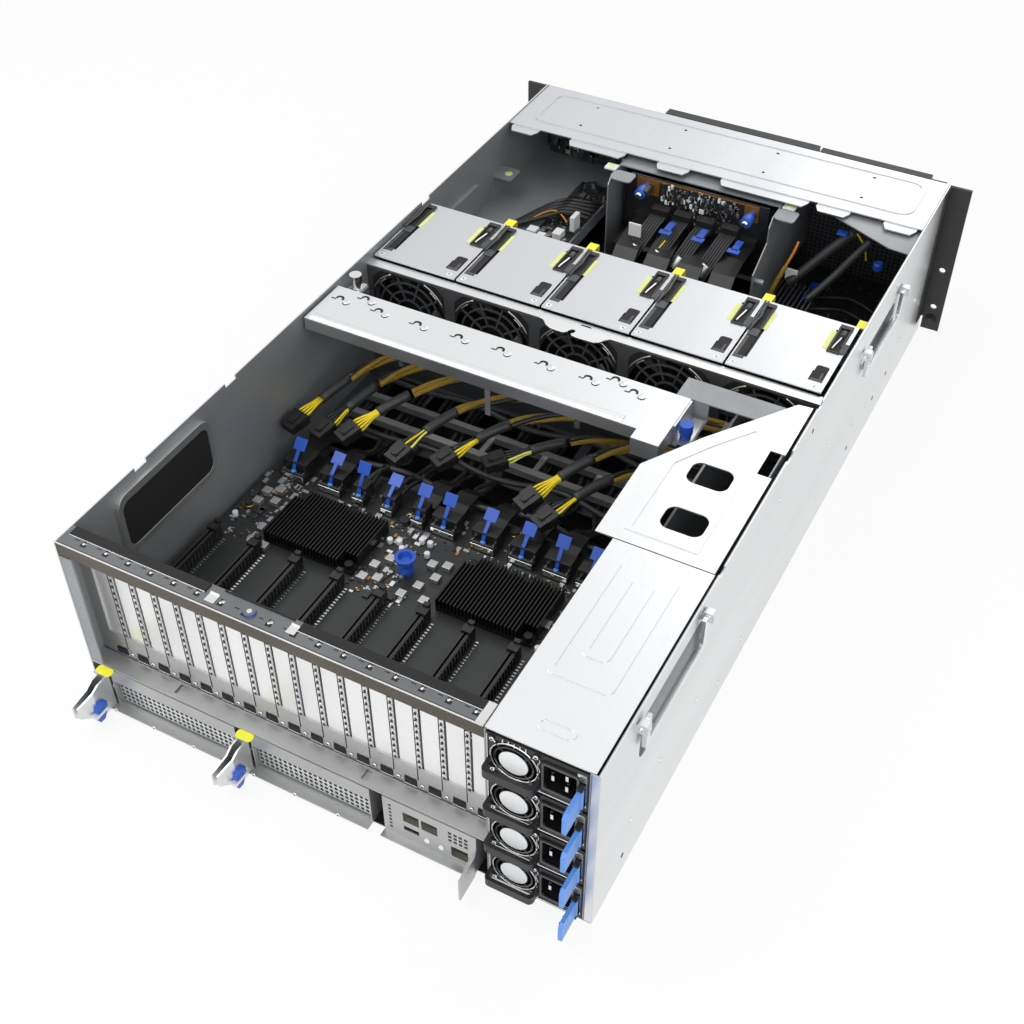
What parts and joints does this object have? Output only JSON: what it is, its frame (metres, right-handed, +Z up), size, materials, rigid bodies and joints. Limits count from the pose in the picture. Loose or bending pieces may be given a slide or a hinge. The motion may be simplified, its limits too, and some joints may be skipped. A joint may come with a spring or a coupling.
{
  "type": "gpu server",
  "caption": "Open four-unit rack server with lift-out fans, a card bay with low board slots, sliding power supplies and rear modules, and swinging lift handles.",
  "frame": {"origin": "on the underside of the chassis, midway between the side walls and between its rear and front faces", "axes": "+Y from the rear face to the front face, +X to the right seen from the rear, +Z up"},
  "size_m": [0.483, 0.8375, 0.177],
  "materials": {
    "steel": "bright zinc-plated sheet steel, satin",
    "black_sheet": "black powder coat",
    "board_black": "black solder mask",
    "black_plastic": "moulded black plastic",
    "black_aluminium": "black anodised",
    "aluminium": "extruded, natural",
    "cable_black": "black braided sleeve",
    "blue_plastic": "moulded blue plastic",
    "white_plastic": "moulded white plastic"
  },
  "bodies": {
    "chassis": {"base_pan": "steel", "left_side_wall": "steel", "right_side_wall": "steel", "front_top_cover": "steel", "front_panel": "black_sheet", "left_rack_ear": "black_sheet", "right_rack_ear": "black_sheet", "drive_cage": "steel", "drive_backplane": "board_black", "drive_carriers": "black_plastic", "motherboard": "board_black", "cpu_heatsinks": "aluminium", "signal_cables": "cable_black", "fan_wall": "steel", "gpu_tray": "steel", "switch_board": "board_black", "gpu_slots": "black_plastic", "switch_heatsinks": "black_aluminium", "signal_cable_plugs": "black_plastic", "gpu_power_leads": "cable_black", "gpu_power_plugs": "black_plastic", "rear_top_beam": "steel", "rear_slot_panel": "steel", "slot_covers": "steel", "psu_cage": "steel", "psu_top_cover": "steel", "duct_cover": "steel"},
    "support_bar": {"gpu_support_bar": "steel"},
    "bar_screw_left": {"support_bar_screw_left": "blue_plastic"},
    "bar_screw_right": {"support_bar_screw_right": "blue_plastic"},
    "guide_knob": {"board_guide_knob": "blue_plastic"},
    "fan_1": {"fan_module_1": "black_plastic"},
    "rotor_1": {"fan_rotor_1": "black_plastic"},
    "fan_2": {"fan_module_2": "black_plastic"},
    "rotor_2": {"fan_rotor_2": "black_plastic"},
    "fan_3": {"fan_module_3": "black_plastic"},
    "rotor_3": {"fan_rotor_3": "black_plastic"},
    "fan_4": {"fan_module_4": "black_plastic"},
    "rotor_4": {"fan_rotor_4": "black_plastic"},
    "fan_5": {"fan_module_5": "black_plastic"},
    "rotor_5": {"fan_rotor_5": "black_plastic"},
    "power_supply_1": {"psu_1": "steel"},
    "power_latch_1": {"psu_latch_1": "blue_plastic"},
    "power_supply_2": {"psu_2": "steel"},
    "power_latch_2": {"psu_latch_2": "blue_plastic"},
    "power_supply_3": {"psu_3": "steel"},
    "power_latch_3": {"psu_latch_3": "blue_plastic"},
    "power_supply_4": {"psu_4": "steel"},
    "power_latch_4": {"psu_latch_4": "blue_plastic"},
    "io_left": {"io_module_left": "steel"},
    "lever_left": {"io_lever_left": "steel"},
    "io_right": {"io_module_right": "steel"},
    "lever_right": {"io_lever_right": "steel"},
    "management": {"management_module": "steel"},
    "button_1": {"rear_button_1": "white_plastic"},
    "button_2": {"rear_button_2": "white_plastic"},
    "handle_right_rear": {"lift_handle_right_rear": "steel"},
    "handle_left_rear": {"lift_handle_left_rear": "steel"},
    "handle_right_front": {"lift_handle_right_front": "steel"},
    "handle_left_front": {"lift_handle_left_front": "steel"}
  },
  "joints": [
    {"name": "support_bar_lift", "type": "slide", "parent": "chassis", "child": "support_bar", "axis": [0, 0, 1], "range_m": [0, 0.12]},
    {"name": "bar_screw_left_turn", "type": "hinge", "parent": "support_bar", "child": "bar_screw_left", "pos_m": [-0.21, -0.011, 0.16], "axis": [0, 0, 1], "continuous": true},
    {"name": "bar_screw_right_turn", "type": "hinge", "parent": "support_bar", "child": "bar_screw_right", "pos_m": [0.1315, -0.056, 0.1538], "axis": [0, 0, 1], "continuous": true},
    {"name": "guide_knob_turn", "type": "hinge", "parent": "chassis", "child": "guide_knob", "pos_m": [-0.041, -0.214, 0.06], "axis": [0, 0, 1], "continuous": true},
    {"name": "fan_module_1_lift", "type": "slide", "parent": "chassis", "child": "fan_1", "axis": [0, 0, 1], "range_m": [0, 0.12]},
    {"name": "fan_rotor_1_spin", "type": "hinge", "parent": "fan_1", "child": "rotor_1", "pos_m": [-0.1748, 0.0393, 0.1245], "axis": [0, 1, 0], "continuous": true},
    {"name": "fan_module_2_lift", "type": "slide", "parent": "chassis", "child": "fan_2", "axis": [0, 0, 1], "range_m": [0, 0.12]},
    {"name": "fan_rotor_2_spin", "type": "hinge", "parent": "fan_2", "child": "rotor_2", "pos_m": [-0.0884, 0.0393, 0.1245], "axis": [0, 1, 0], "continuous": true},
    {"name": "fan_module_3_lift", "type": "slide", "parent": "chassis", "child": "fan_3", "axis": [0, 0, 1], "range_m": [0, 0.12]},
    {"name": "fan_rotor_3_spin", "type": "hinge", "parent": "fan_3", "child": "rotor_3", "pos_m": [-0.002, 0.0393, 0.1245], "axis": [0, 1, 0], "continuous": true},
    {"name": "fan_module_4_lift", "type": "slide", "parent": "chassis", "child": "fan_4", "axis": [0, 0, 1], "range_m": [0, 0.12]},
    {"name": "fan_rotor_4_spin", "type": "hinge", "parent": "fan_4", "child": "rotor_4", "pos_m": [0.0844, 0.0393, 0.1245], "axis": [0, 1, 0], "continuous": true},
    {"name": "fan_module_5_lift", "type": "slide", "parent": "chassis", "child": "fan_5", "axis": [0, 0, 1], "range_m": [0, 0.12]},
    {"name": "fan_rotor_5_spin", "type": "hinge", "parent": "fan_5", "child": "rotor_5", "pos_m": [0.1708, 0.0393, 0.1245], "axis": [0, 1, 0], "continuous": true},
    {"name": "psu_1_slide", "type": "slide", "parent": "chassis", "child": "power_supply_1", "axis": [0, -1, 0], "range_m": [0, 0.185]},
    {"name": "psu_1_latch_press", "type": "hinge", "parent": "power_supply_1", "child": "power_latch_1", "pos_m": [0.2084, -0.4038, 0.0098], "axis": [0, 0, -1], "range_deg": [0, 12], "stiffness_Nm_per_rad": 0.02},
    {"name": "psu_2_slide", "type": "slide", "parent": "chassis", "child": "power_supply_2", "axis": [0, -1, 0], "range_m": [0, 0.185]},
    {"name": "psu_2_latch_press", "type": "hinge", "parent": "power_supply_2", "child": "power_latch_2", "pos_m": [0.2084, -0.4038, 0.053], "axis": [0, 0, -1], "range_deg": [0, 12], "stiffness_Nm_per_rad": 0.02},
    {"name": "psu_3_slide", "type": "slide", "parent": "chassis", "child": "power_supply_3", "axis": [0, -1, 0], "range_m": [0, 0.185]},
    {"name": "psu_3_latch_press", "type": "hinge", "parent": "power_supply_3", "child": "power_latch_3", "pos_m": [0.2084, -0.4038, 0.0962], "axis": [0, 0, -1], "range_deg": [0, 12], "stiffness_Nm_per_rad": 0.02},
    {"name": "psu_4_slide", "type": "slide", "parent": "chassis", "child": "power_supply_4", "axis": [0, -1, 0], "range_m": [0, 0.185]},
    {"name": "psu_4_latch_press", "type": "hinge", "parent": "power_supply_4", "child": "power_latch_4", "pos_m": [0.2084, -0.4038, 0.1394], "axis": [0, 0, -1], "range_deg": [0, 12], "stiffness_Nm_per_rad": 0.02},
    {"name": "io_module_left_slide", "type": "slide", "parent": "chassis", "child": "io_left", "axis": [0, -1, 0], "range_m": [0, 0.15]},
    {"name": "io_lever_left_swing", "type": "hinge", "parent": "io_left", "child": "lever_left", "pos_m": [-0.205, -0.404, 0.02], "axis": [0, 0, -1], "range_deg": [0, 50]},
    {"name": "io_module_right_slide", "type": "slide", "parent": "chassis", "child": "io_right", "axis": [0, -1, 0], "range_m": [0, 0.15]},
    {"name": "io_lever_right_swing", "type": "hinge", "parent": "io_right", "child": "lever_right", "pos_m": [-0.071, -0.404, 0.02], "axis": [0, 0, -1], "range_deg": [0, 50]},
    {"name": "management_slide", "type": "slide", "parent": "chassis", "child": "management", "axis": [0, -1, 0], "range_m": [0, 0.15]},
    {"name": "rear_button_1_press", "type": "slide", "parent": "management", "child": "button_1", "axis": [0, 1, 0], "range_m": [0, 0.001], "stiffness_N_per_m": 400},
    {"name": "rear_button_2_press", "type": "slide", "parent": "management", "child": "button_2", "axis": [0, 1, 0], "range_m": [0, 0.001], "stiffness_N_per_m": 400},
    {"name": "lift_handle_right_rear_swing", "type": "hinge", "parent": "chassis", "child": "handle_right_rear", "pos_m": [0.224, -0.2875, 0.162], "axis": [0, -1, 0], "range_deg": [0, 90]},
    {"name": "lift_handle_left_rear_swing", "type": "hinge", "parent": "chassis", "child": "handle_left_rear", "pos_m": [-0.224, -0.2875, 0.162], "axis": [0, 1, 0], "range_deg": [0, 90]},
    {"name": "lift_handle_right_front_swing", "type": "hinge", "parent": "chassis", "child": "handle_right_front", "pos_m": [0.224, 0.186, 0.143], "axis": [0, -1, 0], "range_deg": [0, 90]},
    {"name": "lift_handle_left_front_swing", "type": "hinge", "parent": "chassis", "child": "handle_left_front", "pos_m": [-0.224, 0.186, 0.143], "axis": [0, 1, 0], "range_deg": [0, 90]}
  ]
}
